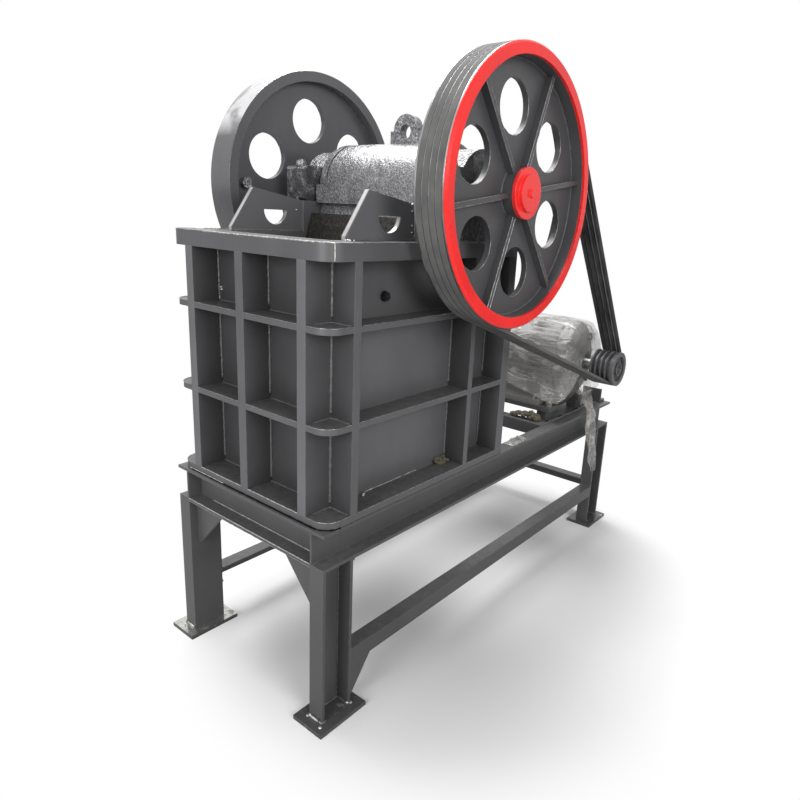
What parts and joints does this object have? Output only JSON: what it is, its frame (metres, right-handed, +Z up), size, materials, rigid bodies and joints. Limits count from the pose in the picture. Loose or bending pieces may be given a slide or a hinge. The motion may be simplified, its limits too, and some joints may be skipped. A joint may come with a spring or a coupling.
{
  "type": "jaw crusher",
  "caption": "Small jaw crusher on a steel channel stand, with flywheels on an eccentric shaft, V-belts and an electric motor beside it.",
  "frame": {"origin": "on the floor in the middle of the overall box", "axes": "+X from the feed end to the motor end, +Y away from the belt side, +Z up"},
  "size_m": [1.71, 0.916, 1.6936],
  "materials": {
    "grey_paint": "satin dark grey paint",
    "rough_cast": "rough cast steel, silver primer",
    "worn_steel": "bare worn steel",
    "motor_paint": "grey enamel",
    "belt_rubber": "matt",
    "turned_steel": "turned",
    "wheel_paint": "satin mid grey paint on turned casting",
    "red_paint": "coral red enamel"
  },
  "bodies": {
    "crusher_and_stand": {"base_side_channels": "grey_paint", "base_end_channels": "grey_paint", "legs": "grey_paint", "foot_plates": "grey_paint", "leg_gussets": "grey_paint", "long_stretchers": "grey_paint", "end_stretcher": "grey_paint", "bottom_flange": "grey_paint", "side_plate_near": "grey_paint", "side_plate_far": "grey_paint", "front_wall": "grey_paint", "rear_wall": "grey_paint", "cheek_plates": "grey_paint", "body_ribs": "grey_paint", "top_band": "grey_paint", "stiffener_bars": "grey_paint", "motor_deck": "grey_paint", "slide_bars": "grey_paint", "tension_brackets": "grey_paint", "bearing_pedestals": "rough_cast", "bearing_housing_near": "rough_cast", "bearing_housing_far": "rough_cast", "swing_jaw": "rough_cast", "lifting_eye": "rough_cast", "fixed_jaw_plate": "worn_steel", "moving_jaw_plate": "worn_steel", "toggle_plate": "worn_steel", "motor_frame": "motor_paint", "motor_shields": "motor_paint", "motor_feet": "motor_paint", "terminal_box": "motor_paint", "drive_belts": "belt_rubber"},
    "crusher_rotor": {"eccentric_shaft": "turned_steel", "near_wheel_rim": "wheel_paint", "near_wheel_web": "wheel_paint", "flywheel_ring": "red_paint", "hub_cap": "red_paint", "far_wheel_rim": "wheel_paint", "far_wheel_web": "wheel_paint", "wheel_hubs": "wheel_paint", "flywheel_ribs": "wheel_paint", "balance_weight": "rough_cast", "far_end_plate": "wheel_paint"},
    "motor_rotor": {"motor_pulley": "wheel_paint", "motor_shaft": "turned_steel"}
  },
  "joints": [
    {"name": "crusher_shaft_turn", "type": "hinge", "parent": "crusher_and_stand", "child": "crusher_rotor", "pos_m": [-0.25, 0, 1.343], "axis": [0, 1, 0], "continuous": true},
    {"name": "motor_shaft_turn", "type": "hinge", "parent": "crusher_and_stand", "child": "motor_rotor", "pos_m": [0.532, 0, 0.755], "axis": [0, 1, 0], "continuous": true}
  ],
  "couplings": [
    {"joint": "motor_shaft_turn", "follows": "crusher_shaft_turn", "ratio": 5.4688}
  ]
}
